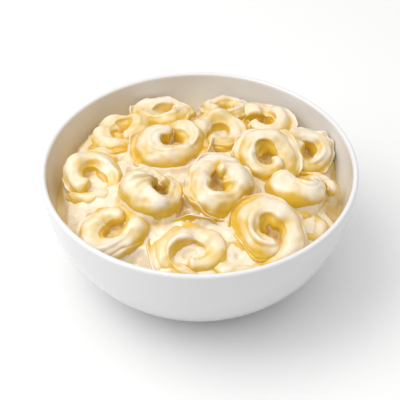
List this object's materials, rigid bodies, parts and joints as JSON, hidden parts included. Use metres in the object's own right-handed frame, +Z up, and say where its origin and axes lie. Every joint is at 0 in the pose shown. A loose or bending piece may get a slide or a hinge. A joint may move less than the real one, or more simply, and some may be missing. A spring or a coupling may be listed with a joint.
{
  "type": "bowl of tortellini",
  "caption": "Round white porcelain bowl heaped with ring-shaped filled pasta in a thick cream sauce, standing on its foot ring.",
  "frame": {"origin": "on the surface that the bowl stands on, below the middle of the bowl", "axes": "+Z up; +X to the right and -Y towards the viewer in the view that shows the heap best"},
  "size_m": [0.16, 0.16, 0.0735],
  "materials": {
    "porcelain": "glazed white porcelain",
    "cream_sauce": "thick wet cream sauce",
    "egg_pasta": "cooked egg pasta, wet with sauce"
  },
  "bodies": {
    "root": {"bowl": "porcelain", "sauce_bed": "cream_sauce", "tortellino_centre": "egg_pasta", "tortellino_centre_left": "egg_pasta", "tortellino_middle_back": "egg_pasta", "tortellino_middle_right": "egg_pasta", "tortellino_front": "egg_pasta", "tortellino_front_right": "egg_pasta", "tortellino_front_left": "egg_pasta", "tortellino_left": "egg_pasta", "tortellino_back_left": "egg_pasta", "tortellino_back_right": "egg_pasta", "tortellino_middle_right_back": "egg_pasta", "tortellino_far_right": "egg_pasta", "tortellino_right": "egg_pasta", "tortellino_left_back": "egg_pasta", "tortellino_back": "egg_pasta", "tortellino_far_left": "egg_pasta", "tortellino_low_right": "egg_pasta", "tortellino_low_left": "egg_pasta", "tortellino_low_front": "egg_pasta", "tortellino_low_middle": "egg_pasta"}
  },
  "joints": []
}
